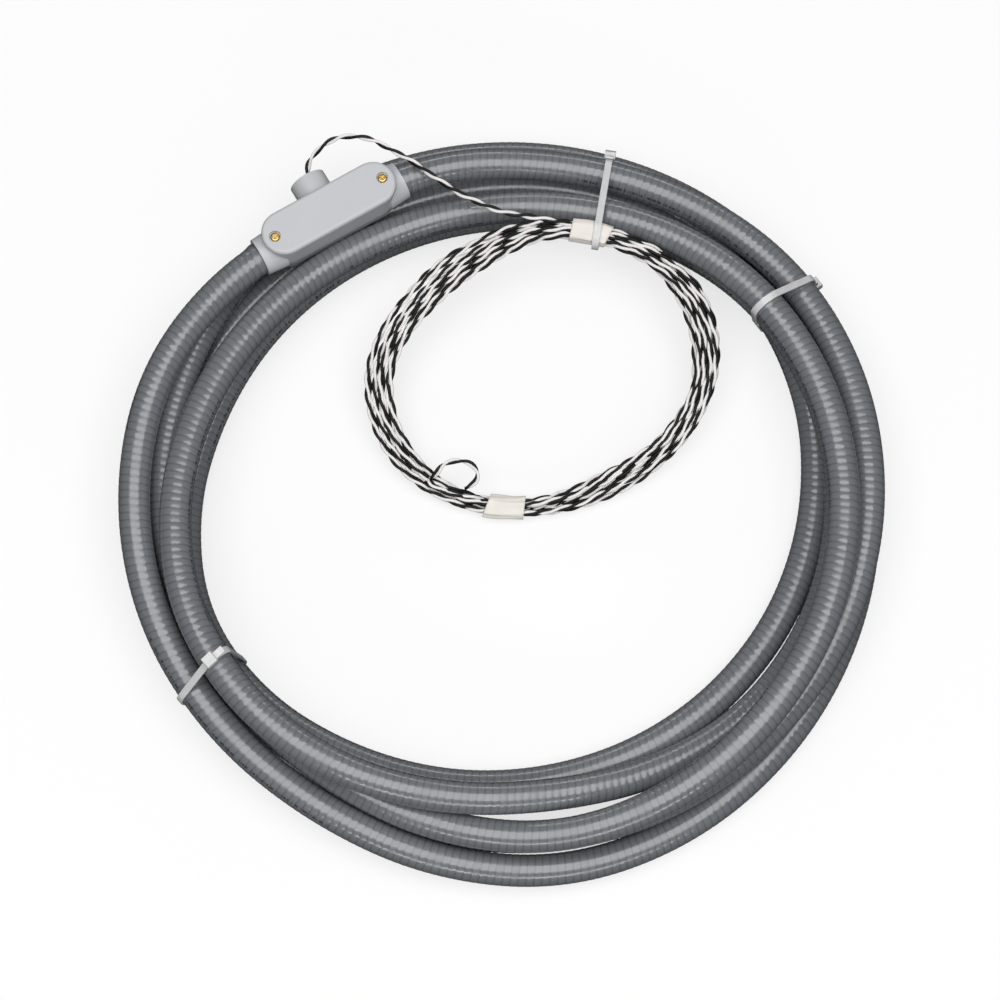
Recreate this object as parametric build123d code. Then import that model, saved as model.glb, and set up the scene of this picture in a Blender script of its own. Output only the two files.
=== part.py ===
"""Preformed inductive vehicle loop: coiled flexible conduit, tee conduit body, twisted lead-in and ties.

Frame: origin at the middle of the coil's footprint on the surface it rests on, +Z up, millimetres.
Routes and places below are laid out about the coil's winding centre, and moved by WINDING_CENTRE.
"""

import os
from math import cos, radians, sin, tan

from build123d import *

os.makedirs("parts", exist_ok=True)

# ---- driving dimensions (mm) -------------------------------------------------------------------
CONDUIT_OD = 21.3  # half-inch trade size liquid-tight flexible conduit
CONDUIT_ID = 15.8
WINDING_OD = 6.0  # the loop's turns of wire, laid together inside the conduit
WIRE_OD = 2.1  # one insulated conductor of the lead-in
PAIR_OD = 2 * WIRE_OD  # the two conductors twisted together

WINDING_CENTRE = (-2.25, -9.02, 0.0)  # the coil isn't quite round, so this is off its footprint's middle

# The conduit's coil: radius and height of its centre line every 40 degrees, one row a lap,
# counted anticlockwise from FIRST_ANGLE.
FIRST_ANGLE = 160
KEY_STEP = 40
LAPS = [
    [(242, 54), (239.5, 42), (234, 27.5), (246.5, 11), (244.5, 11), (246, 11), (257.5, 11), (257, 11), (247, 20.5)],
    [(229, 33.5), (216.5, 33.5), (212.5, 33), (228.5, 36), (228, 57.5), (227.5, 56), (222.5, 55.5), (209.5, 40.5), (201, 38.5)],
    [(206, 50), (217.5, 57.5), (211, 58.5), (199.5, 36), (216.5, 14.5), (228.5, 28), (226, 34), (213, 18), (204, 17)],
    [(203.5, 20), (214.5, 11), (195, 11.5), (186.5, 11), (193.5, 11), (212, 11), (235, 11), (235, 12.5), (226, 11)],
    [(224, 11), (237, 11), (217.5, 11), (224, 14.5), (234.5, 35.5), (245.5, 41.5), (253, 35), (240.5, 37)],
]
BEFORE_FIRST = (240, 50)  # the coil's line carried on into the tee at either end
AFTER_LAST = (238, 50)
COIL_LIFT = 1.45  # the cable ties pass under the coil and hold it this much off the floor

# Tee conduit body: local x along the run, y out of the side hub, z up through the cover.
TEE_AT = (-114.4, 195.0, 51.4)
TEE_YAW = 30.7
TEE_HALF = 55.0  # centre to either end hub's face
HUB_R = 13.2
SOCKET_R = CONDUIT_OD / 2 + 0.1
SOCKET_DEPTH = 17.0
BODY_LENGTH = 98.0
BODY_WIDTH = 30.0
BODY_TOP = 16.5
BODY_FLOOR = -14.3
BODY_DRAFT = 4.0
CAVITY_LENGTH = 72.0
CAVITY_WIDTH = 23.0
CAVITY_FLOOR = -11.5
SIDE_HUB_OUT = 32.0  # centre to the side hub's face
SIDE_HUB_R = 12.8
THROAT_R = 8.0
GASKET = 0.8
COVER_LENGTH = 100.0
COVER_WIDTH = 31.6
COVER_THICK = 4.4
SCREW_AT = 41.5  # centre to either cover screw
SCREW_R = 1.75
HEAD_R = 3.1
HEAD_HIGH = 1.9
SEAT_DEEP = 1.9
SEAT_RIM = 1.0  # gap round the head in its counterbore
INSERT_R = 2.7
INSERT_LONG = 4.6
INSERT_GAP = 0.03
RUN_FIT = 0.05  # radial clearance round a screw's shank

# Lead-in coil: an oval ring tilted about its low side, which lies on the floor.
LEAD_LOW_SIDE = (28.0, 7.0)
LEAD_RADII = [111, 111.5, 100.3, 93, 88, 93, 109, 111, 103, 93, 91, 99]  # every 30 degrees, in its plane
LEAD_REACH = 91.0  # from the low side's centre line to the ring's centre, in its plane
LEAD_TILT = 15.5
LEAD_LOW = 8.1
BUNDLE_WIDE = 18.0
BUNDLE_HIGH = 12.0
TAPE_WIDE = 25.4
TAPE_THICK = 0.5

# Lead-in tail: from the side hub's mouth, arched over the conduit, down to the lead-in coil.
LEAD_TAIL = [
    (-131, 232, 54), (-127.5, 237.5, 57.5), (-120.5, 244, 61), (-111, 249, 64), (-99.5, 249.5, 66), (-86, 246.5, 67.5),
    (-75, 239.5, 68), (-60, 231, 68), (-43.5, 218.5, 68), (-28, 207.5, 67.5), (-12, 200, 66), (4, 194, 64),
    (20.5, 193, 61.5),
]
# The free end of the lead-in: a small loop lying on the coil's lower left.
LEAD_END = [
    (-42, 23, 22), (-38.5, 29, 24), (-28.5, 32, 25), (-18.5, 30, 24.5), (-13.5, 23, 23), (-16, 16.5, 21), (-23, 13.5, 19),
]

# Cable ties: angle round the coil, how far each is turned off the radius there, the two laps
# its head lies between, how far along from the first to the second, and how far the head is
# rolled round the first lap towards the coil's middle.
TIE_RADIUS = 217.0
STRAP_WIDE = 4.6
STRAP_THICK = 1.2
STRAP_GAP = 0.5
TIE_HEAD = (8.4, 5.2, 7.4)  # along the strap, out of it, across it
TIE_TAIL = 7.0
TIES = {
    "cable_tie_top": (71.2, 9.8, 4, 0, 0.2, 0),
    "cable_tie_right": (36.2, 0.0, 4, 0, 0.75, 0),
    "cable_tie_left": (-147.9, 9.0, 2, 0, 0.02, 34),
}


# ---- routes ------------------------------------------------------------------------------------
def tee_point(x, y, z):
    """A point of the tee's own frame in the part's frame."""
    turn = radians(TEE_YAW)
    return Vector(TEE_AT) + Vector(x * cos(turn) - y * sin(turn), x * sin(turn) + y * cos(turn), z)


def half_way(before, here, following, after):
    """The smooth mean between two keys, from the four nearest."""
    return tuple((9 * (b + c) - a - d) / 16 for a, b, c, d in zip(before, here, following, after))


def coil_stations():
    """(angle, radius, height) of the conduit's centre line every half key step."""
    keys = [key for lap in LAPS for key in lap]
    padded = [BEFORE_FIRST] + keys + [AFTER_LAST]
    stations = []
    for i, key in enumerate(keys):
        angle = FIRST_ANGLE + i * KEY_STEP
        stations.append((angle, *key))
        if i + 1 < len(keys):
            middle = half_way(padded[i], key, keys[i + 1], padded[i + 3])
            stations.append((angle + KEY_STEP / 2, *middle))
    return stations


def conduit_points():
    """Corners of the conduit's route, from the left hub's socket round to the right hub's."""
    corner_out = 1 / cos(radians(KEY_STEP / 4))  # arcs pass inside the corners by this much
    lowest = CONDUIT_OD / 2 + 0.35
    points = [tee_point(-(TEE_HALF - SOCKET_DEPTH), 0, 0), tee_point(-(TEE_HALF + 23), 0, 0)]
    for angle, radius, height in coil_stations():
        turn = radians(angle)
        out = radius * corner_out
        points.append(Vector(out * cos(turn), out * sin(turn), max(height, lowest) + COIL_LIFT))
    points += [tee_point(TEE_HALF + 23, 0, 0), tee_point(TEE_HALF - SOCKET_DEPTH, 0, 0)]
    return points


def smooth_path(points, closed=False, name=""):
    """Straight runs joined by tangent arcs, each as large as its two runs allow."""
    points = [Vector(p) for p in points]
    count = len(points)
    corners = range(count) if closed else range(1, count - 1)
    radii = []
    for i in corners:
        run_in = points[i] - points[i - 1]
        run_out = points[(i + 1) % count] - points[i]
        half_turn = radians(run_in.get_angle(run_out) / 2)
        radii.append(0.45 * min(run_in.length, run_out.length) / tan(half_turn))
    if name:
        print(f"{name}: arc radii {min(radii):.1f} to {max(radii):.1f} mm:", [round(r, 1) for r in radii])
    line = FilletPolyline(*points, radius=radii, close=closed)
    return line.wire() if hasattr(line, "wire") else line


def tube(path, outer, inner=0.0):
    """A round tube or rod along a path."""
    start = Plane(origin=path @ 0, z_dir=path % 0)
    solid = sweep(start * Circle(outer), path=path)
    if inner:
        solid -= sweep(start * Circle(inner), path=path)
    return solid


def report_tube(name, path, solid, area):
    """Print a tube's length and how its volume compares with section times length."""
    print(f"{name}: length {path.length:.0f} mm, volume ratio {solid.volume / (area * path.length):.4f}")


# ---- conduit and its winding -------------------------------------------------------------------
def make_conduit():
    path = smooth_path(conduit_points(), name="conduit")
    solid = tube(path, CONDUIT_OD / 2, CONDUIT_ID / 2)
    report_tube("conduit", path, solid, 3.14159265 * (CONDUIT_OD**2 - CONDUIT_ID**2) / 4)
    return solid, path


def make_winding():
    """The turns of loop wire, laid together; their two ends lap side by side inside the tee."""
    lap_x, lap_y, lap_z = 14, 4.6, -4
    start = [tee_point(lap_x, lap_y, lap_z), tee_point(-lap_x, lap_y, lap_z)]
    end = [tee_point(lap_x, -lap_y, lap_z), tee_point(-lap_x, -lap_y, lap_z)]
    points = start + conduit_points() + end
    path = smooth_path(points)
    solid = tube(path, WINDING_OD / 2)
    report_tube("loop_winding", path, solid, 3.14159265 * WINDING_OD**2 / 4)
    return solid


def tie_plane(angle, skew):
    """Upright plane across the coil at an angle, turned off the radius there by the skew."""
    turn = radians(angle + skew)
    place = Vector(TIE_RADIUS * cos(radians(angle)), TIE_RADIUS * sin(radians(angle)), 0)
    return Plane(origin=place, x_dir=Vector(cos(turn), sin(turn), 0), z_dir=Vector(sin(turn), -cos(turn), 0))


def strand_centres(path, plane):
    """(distance outward, height) where each lap of the conduit crosses a tie's plane."""
    samples = 2400
    centres = []
    last = plane.to_local_coords(path @ 0)
    for i in range(1, samples + 1):
        here = plane.to_local_coords(path @ (i / samples))
        if last.Z > 0 >= here.Z and abs(here.X) < TIE_RADIUS / 2:
            crossing = last + (here - last) * (last.Z / (last.Z - here.Z))
            centres.append((crossing.X, crossing.Y))
        last = here
    return centres


# ---- tee conduit body --------------------------------------------------------------------------
def in_tee(shape):
    return Location(TEE_AT) * Rot(0, 0, TEE_YAW) * shape


def capsule(length, width, bottom, high, draft=0.0):
    """A prism with round ends; with a draft it narrows downwards from its top."""
    outline = Plane.XY.offset(bottom + high) * SlotOverall(length, width)
    return extrude(outline, amount=-high, taper=draft)


def rod(radius, start, direction, length):
    return extrude(Plane(origin=start, z_dir=direction) * Circle(radius), amount=length)


def make_tee_body():
    body = capsule(BODY_LENGTH, BODY_WIDTH, BODY_FLOOR, BODY_TOP - BODY_FLOOR, BODY_DRAFT)
    body = fillet(body.faces().sort_by(Axis.Z)[0].edges(), 3.0)
    for side in (-1, 1):
        body += rod(HUB_R, (side * 30, 0, 0), (side, 0, 0), TEE_HALF - 30)
        flare = loft([
            Plane(origin=(side * 40, 0, 0), z_dir=(side, 0, 0)) * Circle(HUB_R + 1.2),
            Plane(origin=(side * (TEE_HALF - 1.5), 0, 0), z_dir=(side, 0, 0)) * Circle(HUB_R + 0.1),
        ])
        body += flare
    body += rod(SIDE_HUB_R, (0, 6, 0), (0, 1, 0), SIDE_HUB_OUT - 6)
    body -= capsule(CAVITY_LENGTH, CAVITY_WIDTH, CAVITY_FLOOR, BODY_TOP - CAVITY_FLOOR + 1)
    for side in (-1, 1):
        body -= rod(THROAT_R, (side * 20, 0, 0), (side, 0, 0), TEE_HALF - 20)
        body -= rod(SOCKET_R, (side * (TEE_HALF - SOCKET_DEPTH), 0, 0), (side, 0, 0), SOCKET_DEPTH + 1)
        insert_foot = BODY_TOP - INSERT_LONG - INSERT_GAP
        body -= rod(INSERT_R + INSERT_GAP, (side * SCREW_AT, 0, insert_foot), (0, 0, 1), INSERT_LONG + 1)
    body -= rod(THROAT_R, (0, 0, 0), (0, 1, 0), SIDE_HUB_OUT)
    body -= rod(SOCKET_R, (0, SIDE_HUB_OUT - SOCKET_DEPTH, 0), (0, 1, 0), SOCKET_DEPTH + 1)
    return in_tee(body)


def make_inserts():
    """Two brass threaded inserts moulded into the body's ends under the cover screws."""
    inserts = []
    for side in (-1, 1):
        ring = rod(INSERT_R, (side * SCREW_AT, 0, BODY_TOP - INSERT_LONG), (0, 0, 1), INSERT_LONG)
        ring -= rod(SCREW_R + RUN_FIT, (side * SCREW_AT, 0, BODY_TOP - INSERT_LONG), (0, 0, 1), INSERT_LONG)
        inserts.append(in_tee(ring))
    return Compound(children=[piece.solid() for piece in inserts])


def make_gasket():
    gasket = capsule(BODY_LENGTH - 1, BODY_WIDTH - 1, BODY_TOP, GASKET)
    gasket -= capsule(CAVITY_LENGTH - 1, CAVITY_WIDTH - 1, BODY_TOP - 1, GASKET + 2)
    for side in (-1, 1):
        gasket -= rod(INSERT_R, (side * SCREW_AT, 0, BODY_TOP - 1), (0, 0, 1), GASKET + 2)
    return in_tee(gasket)


def make_cover():
    base = BODY_TOP + GASKET
    cover = capsule(COVER_LENGTH, COVER_WIDTH, base, COVER_THICK)
    cover = fillet(cover.faces().sort_by(Axis.Z)[-1].edges(), 2.4)
    for side in (-1, 1):
        cover -= rod(SCREW_R + RUN_FIT, (side * SCREW_AT, 0, base - 1), (0, 0, 1), COVER_THICK + 2)
        seat = base + COVER_THICK - SEAT_DEEP
        cover -= rod(HEAD_R + SEAT_RIM, (side * SCREW_AT, 0, seat), (0, 0, 1), SEAT_DEEP + 1)
    return in_tee(cover)


def make_screw(side):
    """Brass pan-head machine screw with a cross recess."""
    seat = BODY_TOP + GASKET + COVER_THICK - SEAT_DEEP
    head = rod(HEAD_R, (0, 0, seat), (0, 0, 1), HEAD_HIGH)
    head = fillet(head.edges().sort_by(Axis.Z)[-1], 0.9)
    shank_foot = BODY_TOP - INSERT_LONG + 0.3
    screw = head + rod(SCREW_R, (0, 0, shank_foot), (0, 0, 1), seat - shank_foot + 0.5)
    for turn in (0, 90):
        recess = Pos(0, 0, seat + HEAD_HIGH) * Rot(0, 0, turn + 20) * Box(3.4, 0.8, 1.8)
        screw -= recess
    return in_tee(Pos(side * SCREW_AT, 0, 0) * screw)


# ---- inside the tee: splices and the lead-in's two cores ---------------------------------------
SPLICE_R = 2.3
SPLICE_LONG = 12.0


def make_splice(side):
    """Sealed crimp that joins one end of the winding to one core of the lead-in."""
    start = tee_point(side * 14, side * 4.6, -4)
    run = tee_point(side, 0, 0) - tee_point(0, 0, 0)
    return rod(SPLICE_R, start, run, SPLICE_LONG)


def make_core(side):
    """One conductor of the lead-in, from its splice up and out to the side hub's mouth."""
    route = [
        (26, 4.6 * side, -4), (30.5, 4.6 * side, -4), (33, 4.7 * side, 0.5), (31, 4.9 * side, 6),
        (24, 3 + 2.5 * side, 9), (14, 6 + side, 9), (5, 9, 6), (2.3, 16, 2.8), (1.2, 24, 0.6),
        (1.05, SIDE_HUB_OUT - 0.5, 0),
    ]
    points = [tee_point(side * x, y, z) for x, y, z in route]
    path = smooth_path(points)
    return tube(path, WIRE_OD / 2)


# ---- lead-in tail, coil, tapes and free end ----------------------------------------------------
def lead_plane():
    tilt = radians(LEAD_TILT)
    return Plane(origin=(*LEAD_LOW_SIDE, LEAD_LOW), x_dir=(1, 0, 0), z_dir=(0, -sin(tilt), cos(tilt)))


def lead_ring_path():
    plane = lead_plane()
    step = 360 / len(LEAD_RADII)
    corner_out = 1 / cos(radians(step / 2))
    points = []
    for i, radius in enumerate(LEAD_RADII):
        turn = radians(i * step)
        out = radius * corner_out
        points.append(plane.from_local_coords(Vector(out * cos(turn), LEAD_REACH + out * sin(turn), 0)))
    return smooth_path(points, closed=True, name="lead coil")


def ring_solid(path, grow):
    start = Plane(origin=path @ 0, x_dir=lead_plane().z_dir, z_dir=path % 0)
    return sweep(start * Ellipse(BUNDLE_HIGH / 2 + grow, BUNDLE_WIDE / 2 + grow), path=path)


def make_lead_coil(path):
    return ring_solid(path, 0)


def make_tape(path, coil, x, y):
    """A band of masking tape round the lead-in's turns, near the ring's own (x, y)."""
    band = ring_solid(path, TAPE_THICK)
    band &= lead_plane() * Pos(x, y, 0) * Box(TAPE_WIDE, BUNDLE_WIDE * 3, BUNDLE_HIGH * 2)
    return band - coil


def make_lead_tail():
    points = [tee_point(0, SIDE_HUB_OUT - 0.5, 0)] + [Vector(p) for p in LEAD_TAIL]
    path = smooth_path(points, name="lead_tail")
    solid = tube(path, PAIR_OD / 2)
    report_tube("lead_tail", path, solid, 3.14159265 * PAIR_OD**2 / 4)
    return solid


def make_lead_end():
    path = smooth_path(LEAD_END, name="lead_end")
    solid = tube(path, PAIR_OD / 2)
    report_tube("lead_end", path, solid, 3.14159265 * PAIR_OD**2 / 4)
    return solid


# ---- cable ties --------------------------------------------------------------------------------
def lead_bundle_section(path, plane):
    """The lead-in's turns where they cross a tie's plane: two (distance, height, size) rounds."""
    samples = 600
    points = [plane.to_local_coords(path @ (i / samples)) for i in range(samples)]
    far = max((p for p in points if abs(p.Z) < 1.0), key=lambda p: p.X)
    size = BUNDLE_HIGH / 2 + TAPE_THICK + 0.2
    reach = BUNDLE_WIDE / 2 - BUNDLE_HIGH / 2
    tilt = radians(LEAD_TILT)
    return [(far.X + side * reach * cos(tilt), far.Y + side * reach * sin(tilt), size)
            for side in (-1, 1)]


def make_tie_head(start, end, share, roll):
    """Head and cut tail, on the straight stretch of strap from one lap's centre to another's."""
    run = Vector(*end) - Vector(*start)
    slope = Vector(1, 0).get_signed_angle(run, Vector(0, 0, 1))
    middle = Vector(*start) + run * share
    strap_at = CONDUIT_OD / 2 + STRAP_GAP
    long, out, across = TIE_HEAD
    head = Pos(0, strap_at + 0.3 + out / 2, 0) * Box(long, out, across)
    head = fillet(head.edges().filter_by(Axis.Z), 1.0)
    tail = Pos(-long / 2 - TIE_TAIL / 2, strap_at + STRAP_THICK * 2, 0) * Box(TIE_TAIL, STRAP_THICK, STRAP_WIDE)
    return Pos(middle.X, middle.Y, 0) * Rot(0, 0, slope + roll) * (head + tail)


def make_tie(path, plane, first, second, share, roll, extra=()):
    """A nylon tie pulled round every lap of the conduit in one plane."""
    centres = strand_centres(path, plane)

    def hull(grow):
        rings = [Pos(r, z) * Circle(CONDUIT_OD / 2 + grow) for r, z in centres]
        rings += [Pos(r, z) * Circle(size + grow) for r, z, size in extra]
        return make_hull([ring.edge() for ring in rings])

    loop = hull(STRAP_GAP + STRAP_THICK) - hull(STRAP_GAP)
    tie = extrude(plane * loop, amount=STRAP_WIDE / 2, both=True)
    return tie + plane * make_tie_head(centres[first], centres[second], share, roll)


def make_parts():
    parts = {}
    parts["conduit"], conduit_path = make_conduit()
    parts["loop_winding"] = make_winding()
    parts["tee_body"] = make_tee_body()
    parts["threaded_inserts"] = make_inserts()
    parts["cover_gasket"] = make_gasket()
    parts["tee_cover"] = make_cover()
    for name, side in (("left", -1), ("right", 1)):
        parts[f"cover_screw_{name}"] = make_screw(side)
    for name, side in (("white", -1), ("black", 1)):
        parts[f"splice_{name}"] = make_splice(side)
        parts[f"lead_core_{name}"] = make_core(side)
    ring = lead_ring_path()
    parts["lead_coil"] = make_lead_coil(ring)
    parts["tape_band_top"] = make_tape(ring, parts["lead_coil"], 34, 185)
    parts["tape_band_bottom"] = make_tape(ring, parts["lead_coil"], -23, 0)
    parts["lead_tail"] = make_lead_tail()
    parts["lead_end"] = make_lead_end()
    for name, (angle, skew, first, second, share, roll) in TIES.items():
        plane = tie_plane(angle, skew)
        bundle = lead_bundle_section(ring, plane) if name == "cable_tie_top" else ()
        parts[name] = make_tie(conduit_path, plane, first, second, share, roll, bundle)
    return {name: Location(WINDING_CENTRE) * shape for name, shape in parts.items()}


if __name__ == "__main__":
    for node, shape in make_parts().items():
        export_step(shape, f"parts/{node}.step")
        box = shape.bounding_box()
        print(f"{node}: {box.min} to {box.max}")
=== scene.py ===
"""The look of a preformed inductive vehicle loop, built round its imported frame.

A coil of ribbed grey conduit closes on a grey tee conduit body. A black and white twisted pair
leaves the tee, arches over the conduit and is wound into an oval coil held by two tape bands.
Three nylon ties hold the conduit's laps. Everything is in metres, in the frame's own axes.
"""

import math
import random

import bmesh
import bpy
import numpy as np
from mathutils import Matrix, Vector


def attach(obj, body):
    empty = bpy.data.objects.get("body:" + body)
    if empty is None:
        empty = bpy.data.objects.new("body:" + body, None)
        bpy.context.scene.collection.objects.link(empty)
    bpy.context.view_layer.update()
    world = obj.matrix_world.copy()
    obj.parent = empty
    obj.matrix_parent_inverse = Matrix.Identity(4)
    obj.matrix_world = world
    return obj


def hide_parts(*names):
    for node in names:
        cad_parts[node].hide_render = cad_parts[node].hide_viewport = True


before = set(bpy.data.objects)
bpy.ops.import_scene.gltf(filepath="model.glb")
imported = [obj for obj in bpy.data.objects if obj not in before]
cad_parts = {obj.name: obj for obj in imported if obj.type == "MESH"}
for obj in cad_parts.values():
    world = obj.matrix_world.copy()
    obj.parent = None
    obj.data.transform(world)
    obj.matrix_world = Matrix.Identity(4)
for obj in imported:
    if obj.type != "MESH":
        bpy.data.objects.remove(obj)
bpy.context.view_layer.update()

# ---- driving dimensions (m) --------------------------------------------------------------------
CONDUIT_OD = 0.0213
CONDUIT_ID = 0.0158
RIB_PITCH = 0.005
GROOVE_DEPTH = 0.00018
WIRE_OD = 0.0021
PAIR_OD = 2 * WIRE_OD
TWIST_PITCH = 0.025

WINDING_CENTRE = Vector((-0.00225, -0.00902, 0.0))

# The conduit's coil: radius and height of its line every 40 degrees, one row a lap.
FIRST_ANGLE = 160
KEY_STEP = 40
LAPS = [
    [(0.242, 0.054), (0.2395, 0.042), (0.234, 0.0275), (0.2465, 0.011), (0.2445, 0.011),
     (0.246, 0.011), (0.2575, 0.011), (0.257, 0.011), (0.247, 0.0205)],
    [(0.229, 0.0335), (0.2165, 0.0335), (0.2125, 0.033), (0.2285, 0.036), (0.228, 0.0575),
     (0.2275, 0.056), (0.2225, 0.0555), (0.2095, 0.0405), (0.201, 0.0385)],
    [(0.206, 0.05), (0.2175, 0.0575), (0.211, 0.0585), (0.1995, 0.036), (0.2165, 0.0145),
     (0.2285, 0.028), (0.226, 0.034), (0.213, 0.018), (0.204, 0.017)],
    [(0.2035, 0.02), (0.2145, 0.011), (0.195, 0.0115), (0.1865, 0.011), (0.1935, 0.011),
     (0.212, 0.011), (0.235, 0.011), (0.235, 0.0125), (0.226, 0.011)],
    [(0.224, 0.011), (0.237, 0.011), (0.2175, 0.011), (0.224, 0.0145), (0.2345, 0.0355),
     (0.2455, 0.0415), (0.253, 0.035), (0.2405, 0.037)],
]
BEFORE_FIRST = (0.24, 0.05)
AFTER_LAST = (0.238, 0.05)
COIL_LIFT = 0.00145
LOWEST_LINE = CONDUIT_OD / 2 + 0.00035
STUB_OUT = 0.023  # where the line stops running straight out of the tee's hubs

# Tee conduit body: local x along its run, y out of the side hub, z up through the cover.
TEE_AT = Vector((-0.1144, 0.195, 0.0514))
TEE_YAW = math.radians(30.7)
TEE_HALF = 0.055
SOCKET_DEPTH = 0.017
SIDE_HUB_OUT = 0.032

# Lead-in: its tail's points, then an oval coil in a tilted plane, then a small free loop.
LEAD_TAIL = [
    (-0.131, 0.232, 0.054), (-0.1275, 0.2375, 0.0575), (-0.1205, 0.244, 0.061),
    (-0.111, 0.249, 0.064), (-0.0995, 0.2495, 0.066), (-0.086, 0.2465, 0.0675),
    (-0.075, 0.2395, 0.068), (-0.06, 0.231, 0.068), (-0.0435, 0.2185, 0.068),
    (-0.028, 0.2075, 0.0675), (-0.012, 0.2, 0.066), (0.004, 0.194, 0.064),
    (0.0205, 0.193, 0.0615),
]
LEAD_END = [
    (-0.042, 0.023, 0.022), (-0.0385, 0.029, 0.024), (-0.0285, 0.032, 0.025),
    (-0.0185, 0.03, 0.0245), (-0.0135, 0.023, 0.023), (-0.016, 0.0165, 0.021),
    (-0.023, 0.0135, 0.019),
]
LEAD_LOW_SIDE = Vector((0.028, 0.007, 0.0081))
LEAD_RADII = [0.111, 0.1115, 0.1003, 0.093, 0.088, 0.093, 0.109, 0.111, 0.103, 0.093, 0.091, 0.099]
LEAD_REACH = 0.091
LEAD_TILT = math.radians(15.5)
LEAD_STEP = 15
LEAD_FIRST = 60
LEAD_TURNS = 9  # whole turns after the first
LEAD_LAST = -135
TAPE_TOP = 70
TAPE_BOTTOM = 256
TAPE_WIDE = 0.0254
TAPE_THICK = 0.0003
BUNDLE_TIGHT = (0.0054, 0.0040)  # half width and half height of the turns' centres under a tape
BUNDLE_LOOSE = (0.0110, 0.0034)  # and half way between the tapes
TAPE_REACH = 9  # degrees either side of a tape's middle where the turns stay tight
LOOSEN_OVER = 42  # and the degrees over which they then fan out


# ---- camera, first -----------------------------------------------------------------------------
CAMERA_ELEVATION = math.radians(74)
CAMERA_DISTANCE = 2.0
CAMERA_AIM = Vector((-0.0016, -0.0030, 0.0176))
CAMERA_LENS = 107.1
SENSOR = 36.0


def make_camera():
    data = bpy.data.cameras.new("camera")
    data.sensor_width = SENSOR
    data.lens = CAMERA_LENS
    camera = bpy.data.objects.new("camera", data)
    back = Vector((0, -math.cos(CAMERA_ELEVATION), math.sin(CAMERA_ELEVATION)))
    camera.location = CAMERA_AIM + back * CAMERA_DISTANCE
    camera.rotation_mode = "QUATERNION"
    camera.rotation_quaternion = (-back).to_track_quat("-Z", "Y")
    bpy.context.scene.collection.objects.link(camera)
    bpy.context.scene.camera = camera


# ---- lines and sections ------------------------------------------------------------------------
LINE_FINENESS = 14
SAME_POINT = 1e-7


def spline_line(points):
    """The smooth line of a NURBS spline that has these control points."""
    curve = bpy.data.curves.new("route", "CURVE")
    curve.dimensions = "3D"
    spline = curve.splines.new("NURBS")
    spline.points.add(len(points) - 1)
    for control, point in zip(spline.points, points):
        control.co = (*point, 1.0)
    spline.order_u = 3
    spline.use_endpoint_u = True
    spline.resolution_u = LINE_FINENESS
    holder = bpy.data.objects.new("route", curve)
    mesh = bpy.data.meshes.new_from_object(holder)
    line = np.array([v.co for v in mesh.vertices], float)
    bpy.data.objects.remove(holder)
    bpy.data.curves.remove(curve)
    bpy.data.meshes.remove(mesh)
    return line


class Sweep:
    """A line with its arc length and an upright frame at each point."""

    def __init__(self, line):
        steps = np.linalg.norm(np.diff(line, axis=0), axis=1)
        keep = np.concatenate([[True], steps > SAME_POINT])
        line = line[keep]
        steps = np.linalg.norm(np.diff(line, axis=0), axis=1)
        self.line = line
        self.arc = np.concatenate([[0.0], np.cumsum(steps)])
        self.length = self.arc[-1]
        self.along = unit(np.gradient(line, self.arc, axis=0))
        self.side = unit(np.cross(self.along, (0.0, 0.0, 1.0)))
        self.up = np.cross(self.side, self.along)

    def at(self, s, values):
        """The values given along the line, at arc lengths s."""
        return np.stack([np.interp(s, self.arc, values[:, k]) for k in range(3)], axis=-1)

    def point(self, s, angle, radius):
        """Points at arc lengths s, off the line by a radius at an angle from its side to its up."""
        sideways = np.cos(angle)[..., None] * self.at(s, self.side)
        upwards = np.sin(angle)[..., None] * self.at(s, self.up)
        off = sideways + upwards
        return self.at(s, self.line) + np.asarray(radius)[..., None] * off


def unit(vectors):
    return vectors / np.linalg.norm(vectors, axis=-1, keepdims=True)


def mesh_object(name, points, faces):
    mesh = bpy.data.meshes.new(name)
    mesh.from_pydata(points.tolist(), [], faces)
    mesh.validate()
    mesh.polygons.foreach_set("use_smooth", [True] * len(mesh.polygons))
    mesh.update()
    thing = bpy.data.objects.new(name, mesh)
    bpy.context.scene.collection.objects.link(thing)
    return thing


def quad_rows(first, rows, count, flip=False):
    """Faces of a tube's wall: rows of count points, numbered on from first."""
    faces = []
    for row in range(rows - 1):
        here = first + row * count
        there = here + count
        for j in range(count):
            k = (j + 1) % count
            face = (here + j, here + k, there + k, there + j)
            faces.append(face[::-1] if flip else face)
    return faces


def add_attribute(thing, name, values):
    layer = thing.data.attributes.new(name, "FLOAT", "POINT")
    layer.data.foreach_set("value", np.asarray(values, np.float32))


# ---- routes ------------------------------------------------------------------------------------
def tee_point(x, y, z):
    """A point of the tee's own frame in the coil's frame."""
    turned_x = x * math.cos(TEE_YAW) - y * math.sin(TEE_YAW)
    turned_y = x * math.sin(TEE_YAW) + y * math.cos(TEE_YAW)
    return TEE_AT + Vector((turned_x, turned_y, z))


def half_way(before, here, following, after):
    """The smooth value half way between two keys, from the four nearest."""
    return (9 * (here + following) - before - after) / 16


def smooth_step(share):
    return share * share * (3 - 2 * share)


def coil_stations():
    """(angle, radius, height) of the conduit's line every half key step."""
    keys = [key for lap in LAPS for key in lap]
    padded = [BEFORE_FIRST] + keys + [AFTER_LAST]
    stations = []
    for i, key in enumerate(keys):
        angle = FIRST_ANGLE + i * KEY_STEP
        stations.append((angle, *key))
        if i + 1 < len(keys):
            nearest = zip(padded[i], key, keys[i + 1], padded[i + 3])
            middle = [half_way(*four) for four in nearest]
            stations.append((angle + KEY_STEP / 2, *middle))
    return stations


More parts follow.
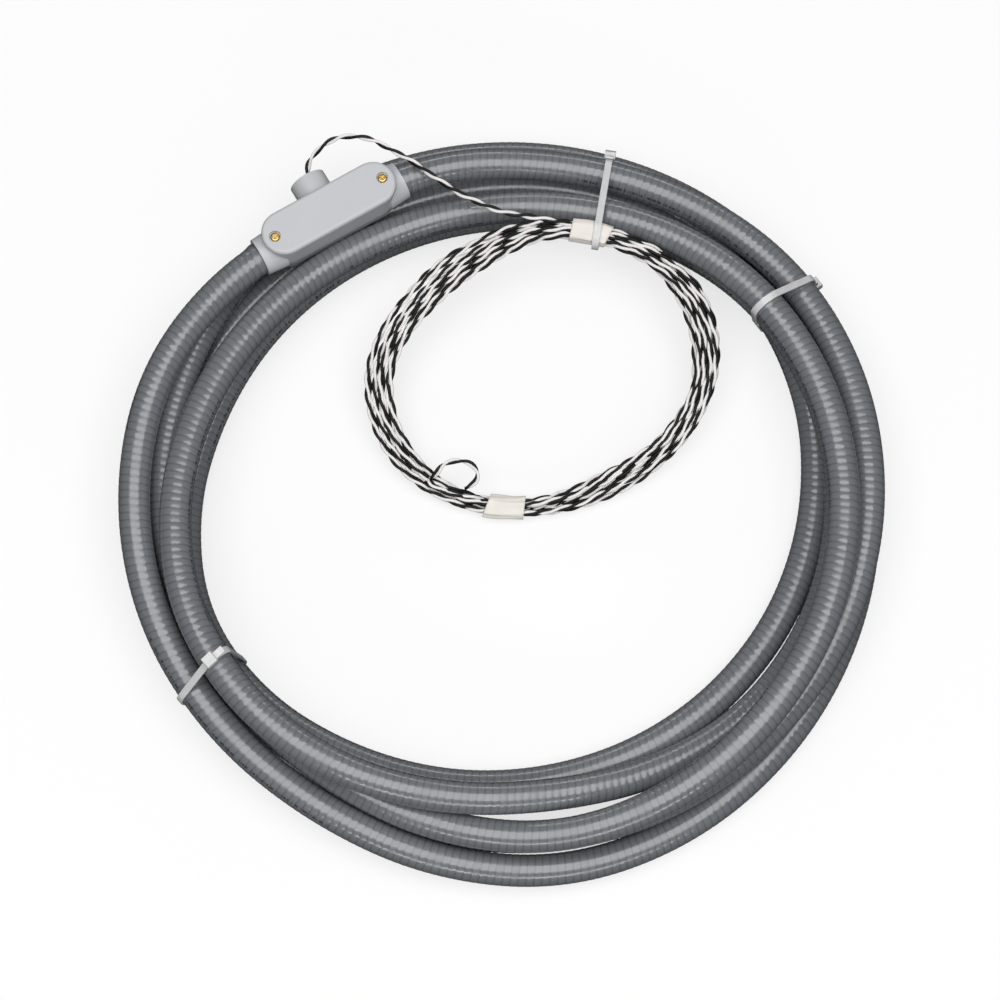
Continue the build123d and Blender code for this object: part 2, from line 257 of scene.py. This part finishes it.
def conduit_route():
    """Control points of the conduit, from one end socket round its laps to the other."""
    corner_out = 1 / math.cos(math.radians(KEY_STEP / 4))
    points = [tee_point(SOCKET_DEPTH - TEE_HALF, 0, 0), tee_point(-TEE_HALF - STUB_OUT, 0, 0)]
    for angle, radius, height in coil_stations():
        turn = math.radians(angle)
        out = radius * corner_out
        lifted = max(height, LOWEST_LINE) + COIL_LIFT
        points.append(Vector((out * math.cos(turn), out * math.sin(turn), lifted)))
    points += [tee_point(TEE_HALF + STUB_OUT, 0, 0), tee_point(TEE_HALF - SOCKET_DEPTH, 0, 0)]
    return [p + WINDING_CENTRE for p in points]


def ring_radius(angle):
    """The lead-in ring's radius at a whole multiple of LEAD_STEP degrees."""
    key, half = divmod(round(angle / LEAD_STEP), 2)
    count = len(LEAD_RADII)
    nearest = [LEAD_RADII[(key + k) % count] for k in (-1, 0, 1, 2)]
    return half_way(*nearest) if half else nearest[1]


def ring_between(angle):
    """The ring's radius at any angle, between its steps."""
    low = math.floor(angle / LEAD_STEP) * LEAD_STEP
    share = (angle - low) / LEAD_STEP
    return ring_radius(low) * (1 - share) + ring_radius(low + LEAD_STEP) * share


def in_ring_plane(turn, reach, upward):
    """A point of the ring's tilted plane: out from its middle at a turn, and off the plane."""
    x = reach * math.cos(turn)
    y = LEAD_REACH + reach * math.sin(turn)
    tilted = Vector((x, y * math.cos(LEAD_TILT) - upward * math.sin(LEAD_TILT),
                     y * math.sin(LEAD_TILT) + upward * math.cos(LEAD_TILT)))
    return LEAD_LOW_SIDE + tilted


def ring_point(angle, outward, upward):
    """A control point of the lead-in's coil: outward from the ring's line, and off its plane."""
    reach = (ring_radius(angle) + outward) / math.cos(math.radians(LEAD_STEP / 2))
    return in_ring_plane(math.radians(angle), reach, upward)


def looseness(angle):
    """0 under a tape band and 1 well away from both."""
    gaps = [abs((angle - tape + 180) % 360 - 180) for tape in (TAPE_TOP, TAPE_BOTTOM)]
    return smooth_step(min(1.0, max(0.0, (min(gaps) - TAPE_REACH) / LOOSEN_OVER)))


SPREAD_ROUNDS = 60
PUSH_SHARE = 0.5
PUSH_DAMPING = 0.6
TINY = 1e-9


def spread_turns(targets, half_wide, half_high, apart):
    """Push the turns of one section apart, inside an oval, from where they would like to be."""
    spots = np.array(targets, float)
    for _ in range(SPREAD_ROUNDS):
        gaps = spots[:, None] - spots[None]
        distance = np.linalg.norm(gaps, axis=2) + TINY
        push = np.clip(apart - distance, 0, None) * PUSH_SHARE
        np.fill_diagonal(push, 0)
        spots += (gaps / distance[..., None] * push[..., None]).sum(1) * PUSH_DAMPING
        outside = np.hypot(spots[:, 0] / half_wide, spots[:, 1] / half_high)
        spots /= np.maximum(outside, 1.0)[:, None]
    return spots


# Where each turn likes to be in the bundle's section: outward from the ring's line, and up.
TURN_HOMES = [
    (0.0045, 0.0030), (0.0085, -0.0005), (0.0055, -0.0030), (0.0015, 0.0010), (-0.0010, -0.0030),
    (-0.0035, 0.0028), (-0.0085, -0.0010), (-0.0050, -0.0028), (-0.0060, 0.0030), (-0.0015, 0.0034),
]
SWAY_SIZES = (0.0006, 0.0024)
LIFT_SIZES = (0.0003, 0.0016)
TIGHT_WANDER = 0.35  # the share of a turn's sway that is left under a tape
TIGHT_APART = 0.0033
LOOSE_APART = 0.0008  # and how much further apart the turns lie where they are loose


def random_waves(dice, sizes, orders):
    """One turn's sway round the ring: (size, waves a turn, phase) for each order."""
    return [(dice.uniform(*sizes) / m, m, dice.uniform(0, 2 * math.pi)) for m in orders]


def add_waves(waves, turn):
    return sum(size * math.sin(m * turn + phase) for size, m, phase in waves)


def lead_sections():
    """Where each turn crosses each ray of the ring: {angle: spots of all the turns}."""
    dice = random.Random(7)
    sways = [random_waves(dice, SWAY_SIZES, (1, 2, 3, 5)) for _ in TURN_HOMES]
    lifts = [random_waves(dice, LIFT_SIZES, (1, 2, 4)) for _ in TURN_HOMES]
    sections = {}
    for angle in range(0, 360, LEAD_STEP):
        loose = looseness(angle)
        turn = math.radians(angle)
        wide, high = (t + (l - t) * loose for t, l in zip(BUNDLE_TIGHT, BUNDLE_LOOSE))
        scale = wide / BUNDLE_LOOSE[0]
        wander = TIGHT_WANDER + loose
        targets = [(x * scale + wander * add_waves(sway, turn), y + wander * add_waves(lift, turn))
                   for (x, y), sway, lift in zip(TURN_HOMES, sways, lifts)]
        sections[angle] = spread_turns(targets, wide, high, TIGHT_APART + LOOSE_APART * loose)
    return sections


LEAD_START_IN = 0.0005
FLOOR_GAP = 0.0002


def lead_route():
    """Control points of the whole lead-in: tail, coil and free end."""
    points = [tee_point(0, SIDE_HUB_OUT - LEAD_START_IN, 0)] + [Vector(p) for p in LEAD_TAIL]
    sections = lead_sections()
    low = PAIR_OD / 2 + FLOOR_GAP
    last = LEAD_LAST - 360 * LEAD_TURNS
    for angle in range(LEAD_FIRST, last - 1, -LEAD_STEP):
        turn = (LEAD_FIRST - angle) / 360
        spots = sections[angle % 360]
        whole = int(turn)
        share = turn - whole
        here = spots[min(whole, LEAD_TURNS)]
        there = spots[min(whole + 1, LEAD_TURNS)]
        # The first half turn keeps its own place, and every other slides to the next turn's.
        spot = here if share < 0.5 and whole == 0 else here + (there - here) * smooth_step(share)
        point = ring_point(angle, *spot)
        point.z = max(point.z, low)
        points.append(point)
    points += [Vector(p) for p in LEAD_END]
    return [p + WINDING_CENTRE for p in points]


# ---- conduit -----------------------------------------------------------------------------------
CONDUIT_ROUND = 20
INNER_STEP = 0.02
# One rib's rows of points: share of the pitch, and height off the crown.
RIB_ROWS = [(0.0, -GROOVE_DEPTH), (0.20, 0.0), (0.80, 0.0)]


def make_conduit(line):
    """Hollow conduit: flat-topped helical ribs outside, with narrow grooves between them."""
    n = CONDUIT_ROUND
    per_rib = len(RIB_ROWS)
    ribs = math.ceil(line.length / RIB_PITCH) + 2
    rows = np.arange(-per_rib, ribs * per_rib)
    start = (rows // per_rib + np.array([RIB_ROWS[k][0] for k in rows % per_rib])) * RIB_PITCH
    share = np.arange(n) / n
    raw = start[:, None] + share * RIB_PITCH
    s = np.clip(raw, 0.0, line.length)
    depth = np.array([RIB_ROWS[k][1] for k in rows % per_rib])[:, None] + np.zeros(n)
    depth[(raw <= 0.0) | (raw >= line.length)] = 0.0
    angle = share * 2 * math.pi - math.pi / 2 + np.zeros_like(s)
    outer = line.point(s, angle, CONDUIT_OD / 2 + depth).reshape(-1, 3)

    count = len(rows)
    number = np.arange(count * n).reshape(count, n)
    before_start = raw <= 0.0
    number[before_start] = np.broadcast_to(np.arange(n), (count, n))[before_start]
    last_row = (count - 1) * n
    past_end = raw >= line.length
    number[past_end] = np.broadcast_to(last_row + np.arange(n), (count, n))[past_end]
    faces = []
    for row in range(count - per_rib - 1):
        for j in range(n):
            if j + 1 < n:
                corners = (number[row, j], number[row, j + 1],
                           number[row + 1, j + 1], number[row + 1, j])
            else:
                far = row + per_rib
                corners = (number[row, j], number[far, 0],
                           number[far + 1, 0], number[row + 1, j])
            corners = tuple(dict.fromkeys(int(c) for c in corners))
            if len(corners) > 2:
                faces.append(corners[::-1])

    inner_rows = int(line.length / INNER_STEP)
    inner_s = np.linspace(0, line.length, inner_rows)[:, None] + np.zeros(n)
    inner_angle = share * 2 * math.pi - math.pi / 2 + np.zeros_like(inner_s)
    inner = line.point(inner_s, inner_angle, CONDUIT_ID / 2 + np.zeros_like(inner_s))
    inner = inner.reshape(-1, 3)
    first_inner = count * n
    faces += quad_rows(first_inner, inner_rows, n)
    last_inner = first_inner + (inner_rows - 1) * n
    for j in range(n):
        k = (j + 1) % n
        faces.append((j, k, first_inner + k, first_inner + j))
        faces.append((last_row + k, last_row + j, last_inner + j, last_inner + k))
    conduit = mesh_object("conduit_ribbed", np.vstack([outer, inner]), faces)
    add_attribute(conduit, "along", np.concatenate([s.ravel(), inner_s.ravel()]))
    add_attribute(conduit, "around", np.concatenate([angle.ravel(), inner_angle.ravel()]))
    # How deep each point sits in a groove, kept for the painted shade that darkens the grooves.
    painted_groove_shade = np.concatenate([-depth.ravel() / GROOVE_DEPTH, np.zeros(inner_rows * n)])
    add_attribute(conduit, "groove_shade", painted_groove_shade)
    clean_up(conduit)
    return conduit


def clean_up(thing):
    """Drop unused points and face the mesh outwards."""
    work = bmesh.new()
    work.from_mesh(thing.data)
    bmesh.ops.delete(work, geom=[v for v in work.verts if not v.link_faces], context="VERTS")
    bmesh.ops.recalc_face_normals(work, faces=work.faces)
    work.to_mesh(thing.data)
    work.free()


# ---- twisted pair ------------------------------------------------------------------------------
STRAND_ROUND = 10
SECTION_STEP = 0.0022


def make_pair(line):
    """Two insulated wires twisted round each other along the lead-in's line."""
    sections = int(line.length / SECTION_STEP)
    s = np.linspace(0, line.length, sections)
    unevenness = 0.35 * np.sin(s / 0.11) + 0.25 * np.sin(s / 0.043 + 1.0)
    twist = 2 * math.pi * s / TWIST_PITCH + unevenness
    n = STRAND_ROUND
    points = []
    faces = []
    for strand in range(2):
        phase = twist + math.pi * strand
        middle = line.point(s, phase, np.full(sections, WIRE_OD / 2))
        around = np.arange(n) / n * 2 * math.pi
        side = line.at(s, line.side)[:, None]
        up = line.at(s, line.up)[:, None]
        ring = np.cos(around)[None, :, None] * side + np.sin(around)[None, :, None] * up
        wall = middle[:, None] + ring * WIRE_OD / 2
        first = len(points)
        points.extend(wall.reshape(-1, 3))
        past = first + sections * n
        caps = [tuple(range(first, first + n)), tuple(range(past - 1, past - n - 1, -1))]
        faces.append(quad_rows(first, sections, n, flip=True) + caps)
    pair = mesh_object("lead_in_pair", np.array(points), faces[0] + faces[1])
    clean_up(pair)
    pair.data.materials.append(wire_material("wire_black", (0.008, 0.008, 0.009), 0.32))
    pair.data.materials.append(wire_material("wire_white", (0.88, 0.85, 0.84), 0.38))
    colours = [0] * len(faces[0]) + [1] * len(faces[1])
    pair.data.polygons.foreach_set("material_index", colours)
    return pair


# ---- tape bands --------------------------------------------------------------------------------
TAPE_ROWS = 19
TAPE_ROUND = 56
TAPE_CLEAR = 0.0002  # off the turns inside it
TAPE_LAP = 0.0002  # how much its last lap stands out
LAP_FROM = 4.2  # radians round
TAPE_SQUARENESS = 0.85
TAPE_FLOOR_GAP = 0.0004


def squarish(value):
    """Cosines and sines of this make a rounded oblong in place of an oval."""
    return math.copysign(abs(value) ** TAPE_SQUARENESS, value)


def make_tape(name, angle, seed):
    """A band of masking tape wrapped tightly round the lead-in's turns."""
    dice = random.Random(seed)
    rows = TAPE_ROWS
    n = TAPE_ROUND
    waves = [(dice.uniform(0.00008, 0.00022), m, dice.uniform(0, 6.28)) for m in (5, 7, 9, 12)]
    radius = ring_radius(round(angle / LEAD_STEP) * LEAD_STEP)
    points = []
    for skin in (1, 0):
        for row in range(rows):
            share = row / (rows - 1)
            degrees = angle + math.degrees((share - 0.5) * TAPE_WIDE / radius)
            turn = math.radians(degrees)
            nip = 1 + 0.03 * math.cos(share * 6.28 + seed)
            for j in range(n):
                around = j / n * 2 * math.pi
                bumps = sum(size * math.sin(m * around + phase + 2.2 * share * math.cos(m))
                            for size, m, phase in waves)
                grow = PAIR_OD / 2 + TAPE_CLEAR + bumps + TAPE_THICK * skin
                lap = TAPE_LAP * (around % 6.28 > LAP_FROM) * skin
                half_wide = (BUNDLE_TIGHT[0] + grow + lap) * nip
                half_high = (BUNDLE_TIGHT[1] + grow + lap) * nip
                reach = ring_between(degrees) + half_wide * squarish(math.cos(around))
                upward = half_high * squarish(math.sin(around))
                spot = in_ring_plane(turn, reach, upward) + WINDING_CENTRE
                spot.z = max(spot.z, TAPE_FLOOR_GAP)
                points.append(tuple(spot))
    faces = quad_rows(0, rows, n) + quad_rows(rows * n, rows, n, flip=True)
    inner = rows * n
    last = (rows - 1) * n
    for j in range(n):
        k = (j + 1) % n
        faces.append((j, inner + j, inner + k, k))
        faces.append((last + j, last + k, inner + last + k, inner + last + j))
    band = mesh_object(name, np.array(points), faces)
    clean_up(band)
    return band


# ---- materials ---------------------------------------------------------------------------------
def new_material(name):
    material = bpy.data.materials.new(name)
    material.use_nodes = True
    tree = material.node_tree
    tree.nodes.clear()
    shader = tree.nodes.new("ShaderNodeBsdfPrincipled")
    output = tree.nodes.new("ShaderNodeOutputMaterial")
    tree.links.new(shader.outputs[0], output.inputs[0])
    return material, tree, shader


def coordinates(tree):
    return tree.nodes.new("ShaderNodeTexCoord").outputs["Object"]


def noise(tree, scale, detail=3.0, roughness=0.5):
    node = tree.nodes.new("ShaderNodeTexNoise")
    for name, value in (("Scale", scale), ("Detail", detail), ("Roughness", roughness)):
        node.inputs[name].default_value = value
    tree.links.new(coordinates(tree), node.inputs["Vector"])
    return node.outputs["Fac"]


def between(tree, factor, low, high):
    """Map 0..1 to low..high."""
    node = tree.nodes.new("ShaderNodeMapRange")
    node.inputs["To Min"].default_value = low
    node.inputs["To Max"].default_value = high
    tree.links.new(factor, node.inputs["Value"])
    return node.outputs["Result"]


def blend_colours(tree, factor, first, second):
    node = tree.nodes.new("ShaderNodeMix")
    node.data_type = "RGBA"
    plug(tree, factor, node.inputs["Factor"])
    plug(tree, first, node.inputs[6])
    plug(tree, second, node.inputs[7])
    return node.outputs[2]


def plug(tree, value, socket):
    if isinstance(value, bpy.types.NodeSocket):
        tree.links.new(value, socket)
    elif isinstance(value, tuple):
        socket.default_value = (*value, 1.0)
    else:
        socket.default_value = value


def calculate(tree, operation, *values):
    node = tree.nodes.new("ShaderNodeMath")
    node.operation = operation
    for value, socket in zip(values, node.inputs):
        plug(tree, value, socket)
    return node.outputs[0]


def bump(tree, shader, height, strength, distance):
    node = tree.nodes.new("ShaderNodeBump")
    node.inputs["Strength"].default_value = strength
    node.inputs["Distance"].default_value = distance
    tree.links.new(height, node.inputs["Height"])
    tree.links.new(node.outputs[0], shader.inputs["Normal"])


def attribute(tree, name):
    node = tree.nodes.new("ShaderNodeAttribute")
    node.attribute_name = name
    return node.outputs["Fac"]


def random_step(tree, number):
    """A random value from 0 to 1 that is the same wherever the number is."""
    white = tree.nodes.new("ShaderNodeTexWhiteNoise")
    white.noise_dimensions = "1D"
    tree.links.new(number, white.inputs["W"])
    return white.outputs["Value"]


def conduit_material():
    """Glossy grey PVC, uneven from rib to rib, with painted shade darkening its grooves and a line
    of plain ink dashes.
    """
    material, tree, shader = new_material("conduit_pvc")
    patches = between(tree, noise(tree, 28.0, 4.0), 0.2, 0.8)
    colour = blend_colours(tree, patches, (0.138, 0.147, 0.159), (0.176, 0.186, 0.199))
    # Painted shade: the base colour is darkened in the grooves between the ribs, where shade falls.
    painted_groove_shade = calculate(tree, "MULTIPLY", attribute(tree, "groove_shade"), 0.38)
    colour = blend_colours(tree, painted_groove_shade, colour, (0.034, 0.037, 0.041))
    inked = calculate(tree, "MULTIPLY", ink_dashes(tree), 0.8)
    colour = blend_colours(tree, inked, colour, (0.030, 0.032, 0.036))
    tree.links.new(colour, shader.inputs["Base Color"])
    smears = between(tree, noise(tree, 120.0, 3.0), 0.12, 0.20)
    varied = between(tree, random_step(tree, rib_number(tree)), 0.0, 0.14)
    tree.links.new(calculate(tree, "ADD", smears, varied), shader.inputs["Roughness"])
    bump(tree, shader, noise(tree, 2600.0, 2.0), 0.22, 0.00006)
    shader.inputs["Specular IOR Level"].default_value = 0.85
    return material


def rib_number(tree):
    """A whole number that goes up by one from each rib of the helix to the next."""
    from_bottom = calculate(tree, "ADD", attribute(tree, "around"), math.pi / 2)
    turn = calculate(tree, "MULTIPLY", from_bottom, 0.5 / math.pi)
    pitches = calculate(tree, "MULTIPLY", attribute(tree, "along"), 1 / RIB_PITCH)
    return calculate(tree, "FLOOR", calculate(tree, "SUBTRACT", pitches, turn))


INK_STRETCH = (0.45, 0.95)  # metres along, between which the printing turns under the conduit
INK_ANGLES = (0.45, -3.50)  # round the conduit, before and after
INK_WANDER = 0.18
INK_WAVES = 5.2  # radians of wander a metre
INK_HALF = 0.10
INK_STROKE = 0.0007
INK_BLANKS = 0.48  # the share of strokes left out
INK_REPEAT = 0.3048
INK_PRINTED = 0.55  # the share of each repeat that is printed


def ink_dashes(tree):
    """1 inside plain strokes in a broken line along the conduit's flank."""
    along = attribute(tree, "along")
    turned = tree.nodes.new("ShaderNodeMapRange")
    turned.interpolation_type = "SMOOTHSTEP"
    for name, value in zip(("From Min", "From Max", "To Min", "To Max"), INK_STRETCH + INK_ANGLES):
        turned.inputs[name].default_value = value
    tree.links.new(along, turned.inputs["Value"])
    wave = calculate(tree, "SINE", calculate(tree, "MULTIPLY", along, INK_WAVES))
    sway = calculate(tree, "MULTIPLY", wave, INK_WANDER)
    middle = calculate(tree, "ADD", turned.outputs["Result"], sway)
    off = calculate(tree, "SUBTRACT", attribute(tree, "around"), middle)
    off = calculate(tree, "ABSOLUTE", calculate(tree, "WRAP", off, math.pi, -math.pi))
    in_band = calculate(tree, "LESS_THAN", off, INK_HALF)
    steps = calculate(tree, "FLOOR", calculate(tree, "MULTIPLY", along, 1 / INK_STROKE))
    stroke = calculate(tree, "GREATER_THAN", random_step(tree, steps), INK_BLANKS)
    groups = calculate(tree, "FRACT", calculate(tree, "MULTIPLY", along, 1 / INK_REPEAT))
    printed = calculate(tree, "LESS_THAN", groups, INK_PRINTED)
    return calculate(tree, "MULTIPLY", calculate(tree, "MULTIPLY", in_band, stroke), printed)


def tee_material():
    """Light grey moulded PVC with a faint satin grain."""
    material, tree, shader = new_material("tee_pvc")
    colour = blend_colours(tree, between(tree, noise(tree, 40.0, 4.0), 0.25, 0.75),
                           (0.47, 0.485, 0.505), (0.55, 0.56, 0.58))
    tree.links.new(colour, shader.inputs["Base Color"])
    tree.links.new(between(tree, noise(tree, 210.0), 0.36, 0.50), shader.inputs["Roughness"])
    bump(tree, shader, noise(tree, 2400.0, 3.0), 0.22, 0.00005)
    return material


def brass_material():
    material, tree, shader = new_material("brass_screw")
    colour = blend_colours(tree, noise(tree, 900.0, 3.0), (0.62, 0.40, 0.12), (0.83, 0.60, 0.24))
    tree.links.new(colour, shader.inputs["Base Color"])
    shader.inputs["Metallic"].default_value = 1.0
    tree.links.new(between(tree, noise(tree, 1500.0), 0.18, 0.36), shader.inputs["Roughness"])
    bump(tree, shader, noise(tree, 5200.0, 2.0), 0.15, 0.00003)
    return material


def nylon_material():
    """Natural nylon: milky, slightly glossy, with light scattered inside."""
    material, tree, shader = new_material("nylon_tie")
    colour = blend_colours(tree, noise(tree, 180.0, 3.0), (0.58, 0.58, 0.585), (0.68, 0.68, 0.685))
    tree.links.new(colour, shader.inputs["Base Color"])
    shader.inputs["Subsurface Weight"].default_value = 0.35
    shader.inputs["Subsurface Radius"].default_value = (0.002, 0.002, 0.0018)
    shader.inputs["Subsurface Scale"].default_value = 1.0
    tree.links.new(between(tree, noise(tree, 500.0), 0.28, 0.42), shader.inputs["Roughness"])
    bump(tree, shader, noise(tree, 1800.0, 2.0), 0.18, 0.00005)
    return material


def wire_material(name, colour, roughness):
    """Extruded insulation: satin, with slight drawing marks."""
    material, tree, shader = new_material(name)
    soft = tuple(0.82 * c for c in colour)
    mottled = blend_colours(tree, noise(tree, 160.0, 3.0), soft, colour)
    tree.links.new(mottled, shader.inputs["Base Color"])
    gloss = between(tree, noise(tree, 420.0), roughness - 0.08, roughness + 0.1)
    tree.links.new(gloss, shader.inputs["Roughness"])
    bump(tree, shader, noise(tree, 3000.0, 2.0), 0.2, 0.00004)
    shader.inputs["Specular IOR Level"].default_value = 0.18
    return material


def tape_material():
    """Cream masking tape: crepe paper, matt, with fine cross wrinkles."""
    material, tree, shader = new_material("masking_tape")
    colour = blend_colours(tree, noise(tree, 90.0, 4.0), (0.72, 0.68, 0.62), (0.84, 0.81, 0.76))
    tree.links.new(colour, shader.inputs["Base Color"])
    tree.links.new(between(tree, noise(tree, 300.0), 0.55, 0.75), shader.inputs["Roughness"])
    bump(tree, shader, noise(tree, 900.0, 5.0, 0.7), 0.6, 0.0002)
    return material


def plain_material(name, low, high, roughness):
    """For the pieces that only show with the cover off."""
    material, tree, shader = new_material(name)
    tree.links.new(blend_colours(tree, noise(tree, 300.0), low, high), shader.inputs["Base Color"])
    gloss = between(tree, noise(tree, 700.0), roughness - 0.06, roughness + 0.08)
    tree.links.new(gloss, shader.inputs["Roughness"])
    bump(tree, shader, noise(tree, 2500.0), 0.2, 0.00004)
    return material


def dress(node, material):
    """Give a CAD node a material in place of its own."""
    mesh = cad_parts[node].data
    mesh.materials.clear()
    mesh.materials.append(material)


# ---- floor, light and world --------------------------------------------------------------------
FLOOR_HALF = 6.0
FLOOR_SEEN = (0.80, 0.80, 0.80)
FLOOR_BOUNCE = (0.06, 0.06, 0.06)
FLOOR_GLOW = 1.05
GLOW_SHARE = 0.68


def make_floor():
    """A pale floor with a faint shadow, which throws little light back up at the object."""
    mesh = bpy.data.meshes.new("floor")
    half = FLOOR_HALF
    corners = [(-half, -half, 0), (half, -half, 0), (half, half, 0), (-half, half, 0)]
    mesh.from_pydata(corners, [], [(0, 1, 2, 3)])
    floor = bpy.data.objects.new("floor", mesh)
    bpy.context.scene.collection.objects.link(floor)
    material, tree, shader = new_material("floor_white")
    seen = tree.nodes.new("ShaderNodeLightPath").outputs["Is Camera Ray"]
    tree.links.new(blend_colours(tree, seen, FLOOR_BOUNCE, FLOOR_SEEN), shader.inputs["Base Color"])
    shader.inputs["Roughness"].default_value = 0.9
    shader.inputs["Specular IOR Level"].default_value = 0.0
    glow = tree.nodes.new("ShaderNodeEmission")
    glow.inputs["Strength"].default_value = FLOOR_GLOW
    mix = tree.nodes.new("ShaderNodeMixShader")
    tree.links.new(calculate(tree, "MULTIPLY", seen, GLOW_SHARE), mix.inputs[0])
    tree.links.new(shader.outputs[0], mix.inputs[1])
    tree.links.new(glow.outputs[0], mix.inputs[2])
    output = next(node for node in tree.nodes if node.type == "OUTPUT_MATERIAL")
    tree.links.new(mix.outputs[0], output.inputs[0])
    floor.data.materials.append(material)


def make_light(name, place, size, power):
    """A rectangular light that faces the middle of the floor."""
    data = bpy.data.lights.new(name, "AREA")
    data.shape = "RECTANGLE"
    data.size, data.size_y = size
    data.energy = power
    lamp = bpy.data.objects.new(name, data)
    lamp.location = place
    lamp.rotation_mode = "QUATERNION"
    lamp.rotation_quaternion = (-Vector(place)).to_track_quat("-Z", "Y")
    bpy.context.scene.collection.objects.link(lamp)


def make_studio():
    make_floor()
    make_light("overhead", (0.0, -0.30, 2.3), (3.0, 2.2), 68)
    make_light("front_strip", (0.1, -1.75, 0.8), (1.8, 0.30), 8)
    make_light("back_strip", (0.0, 1.7, 0.6), (1.8, 0.2), 5)
    world = bpy.data.worlds.new("studio")
    world.use_nodes = True
    background = world.node_tree.nodes["Background"]
    background.inputs["Color"].default_value = (1, 1, 1, 1)
    background.inputs["Strength"].default_value = 0.08
    bpy.context.scene.world = world
    bpy.context.scene.view_settings.view_transform = "Standard"


# ---- building ----------------------------------------------------------------------------------
def build_cords():
    conduit_line = Sweep(spline_line(conduit_route()))
    conduit = make_conduit(conduit_line)
    conduit.data.materials.append(conduit_material())
    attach(conduit, "loop")
    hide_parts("conduit")

    tapes = [make_tape("tape_wrap_top", TAPE_TOP, 3), make_tape("tape_wrap_bottom", TAPE_BOTTOM, 5)]
    material = tape_material()
    for tape, node in zip(tapes, ("tape_band_top", "tape_band_bottom")):
        tape.data.materials.append(material)
        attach(tape, "loop")
        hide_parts(node)

    lead_line = Sweep(spline_line(lead_route()))
    pair = make_pair(lead_line)
    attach(pair, "loop")
    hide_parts("lead_tail", "lead_coil", "lead_end")
    print(f"conduit {conduit_line.length:.3f} m, lead-in {lead_line.length:.3f} m")


def dress_frame():
    grey = tee_material()
    for node in ("tee_body", "tee_cover"):
        dress(node, grey)
    brass = brass_material()
    for node in ("cover_screw_left", "cover_screw_right", "threaded_inserts"):
        dress(node, brass)
    nylon = nylon_material()
    for node in ("cable_tie_top", "cable_tie_right", "cable_tie_left"):
        dress(node, nylon)
    foam = plain_material("gasket_foam", (0.02, 0.02, 0.02), (0.05, 0.05, 0.05), 0.8)
    dress("cover_gasket", foam)
    winding = plain_material("winding_wire", (0.30, 0.02, 0.02), (0.40, 0.04, 0.03), 0.4)
    dress("loop_winding", winding)
    sleeve = plain_material("splice_sleeve", (0.03, 0.05, 0.25), (0.05, 0.08, 0.35), 0.45)
    dress("splice_black", sleeve)
    dress("splice_white", sleeve)
    dress("lead_core_black", wire_material("core_black", (0.012, 0.012, 0.013), 0.32))
    dress("lead_core_white", wire_material("core_white", (0.88, 0.85, 0.84), 0.38))


make_camera()
build_cords()
dress_frame()
make_studio()
